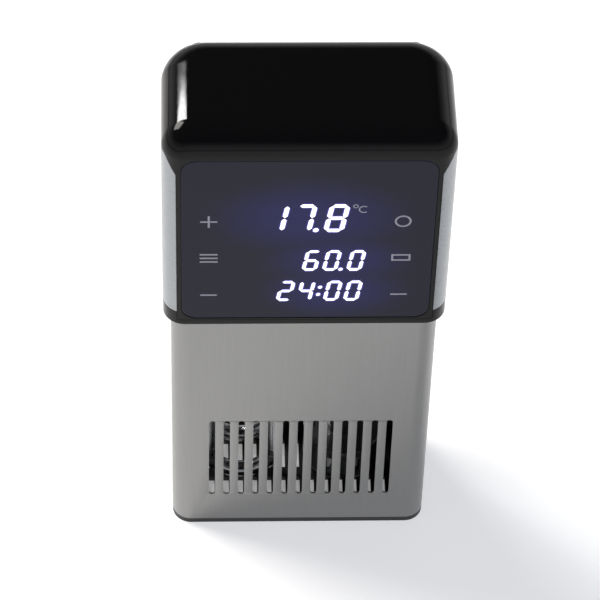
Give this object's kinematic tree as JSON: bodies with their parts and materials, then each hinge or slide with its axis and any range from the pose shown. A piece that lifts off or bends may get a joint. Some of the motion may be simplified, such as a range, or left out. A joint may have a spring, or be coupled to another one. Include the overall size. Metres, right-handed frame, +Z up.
{
  "type": "sous vide circulator",
  "caption": "Clamp-on immersion circulator: black and silver head with touch display, stainless skirt over pump, heater and probes, removable end cap, screw clamp for a pan wall.",
  "frame": {"origin": "middle of the flat bottom face of the skirt's end cap", "axes": "+Z up along the skirt towards the head, the display faces -Y, +X to the right seen from the front"},
  "size_m": [0.129, 0.13, 0.271],
  "materials": {
    "black_gloss": "glossy moulded ABS",
    "silver": "satin stainless sheet, fine grain",
    "steel": "brushed stainless sheet",
    "black_glass": "black-backed glass, polished",
    "black_matt": "fine matt grain",
    "rubber": "soft matt",
    "silicone": "red silicone, matt",
    "board": "green solder mask",
    "machined": "turned stainless",
    "zinc": "bright zinc plate",
    "brass": "turned brass",
    "aluminium": "plain extruded",
    "motor_paint": "satin black paint",
    "copper": "enamelled copper and lamination steel",
    "white_plastic": "natural PTFE",
    "component": "moulded epoxy",
    "cable": "PVC wire sleeve"
  },
  "bodies": {
    "head": {"top_cover": "black_gloss", "side_shell": "silver", "base_tray": "black_gloss", "tie_screws": "zinc", "display_glass": "black_glass", "display_module": "black_matt", "touch_board": "board", "board_posts": "black_matt", "key_sensors": "brass", "board_chips": "component", "buzzer": "component", "mounting_flange": "steel", "head_gasket": "silicone", "flange_screws": "zinc", "skirt_seal": "silicone", "motor_stand": "zinc", "motor_can": "motor_paint", "motor_end_bell": "aluminium", "motor_screws": "zinc", "motor_bearings": "machined", "motor_stator": "copper", "shaft_tube": "machined", "shaft_seal": "rubber", "lower_bush": "white_plastic", "pump_housing": "steel", "pump_inlet_plate": "steel", "heater_element": "machined", "heater_nuts": "brass", "heater_terminals": "brass", "temperature_probe": "machined", "level_rods": "machined", "level_sleeves": "white_plastic", "power_board": "board", "board_standoffs": "brass", "transformer_core": "copper", "transformer_coil": "white_plastic", "relay": "component", "capacitors": "component", "heat_sink": "aluminium", "triac": "component", "terminal_block": "board", "motor_leads": "cable", "cord_gland": "black_matt", "gland_nut": "black_matt", "clamp_bracket": "steel", "bracket_screws": "zinc", "clamp_nut": "zinc"},
    "rotor": {"motor_rotor": "machined", "motor_shaft": "machined", "drive_shaft": "machined", "shaft_coupling": "aluminium", "cooling_fan": "black_matt", "impeller": "white_plastic"},
    "skirt": {"skirt": "steel", "jaw_pad": "rubber"},
    "skirt_cap": {"skirt_cap": "black_matt"},
    "clamp_foot": {"clamp_pad": "rubber", "clamp_disc": "machined"},
    "clamp_screw": {"clamp_screw": "machined", "clamp_knob": "black_matt"}
  },
  "joints": [
    {"name": "impeller_spin", "type": "hinge", "parent": "head", "child": "rotor", "pos_m": [0.022, 0.006, 0], "axis": [0, 0, 1], "continuous": true},
    {"name": "skirt_pull", "type": "slide", "parent": "head", "child": "skirt", "axis": [0, 0, -1], "range_m": [0, 0.155]},
    {"name": "cap_pull", "type": "slide", "parent": "skirt", "child": "skirt_cap", "axis": [0, 0, -1], "range_m": [0, 0.012]},
    {"name": "clamp_feed", "type": "slide", "parent": "head", "child": "clamp_foot", "axis": [0, -1, 0], "range_m": [0, 0.015]},
    {"name": "clamp_turn", "type": "hinge", "parent": "clamp_foot", "child": "clamp_screw", "pos_m": [0, 0.07, 0.114], "axis": [0, -1, 0], "range_deg": [0, 2718]}
  ],
  "couplings": [
    {"joint": "clamp_turn", "follows": "clamp_feed", "rad_per_m": 3141.6}
  ]
}
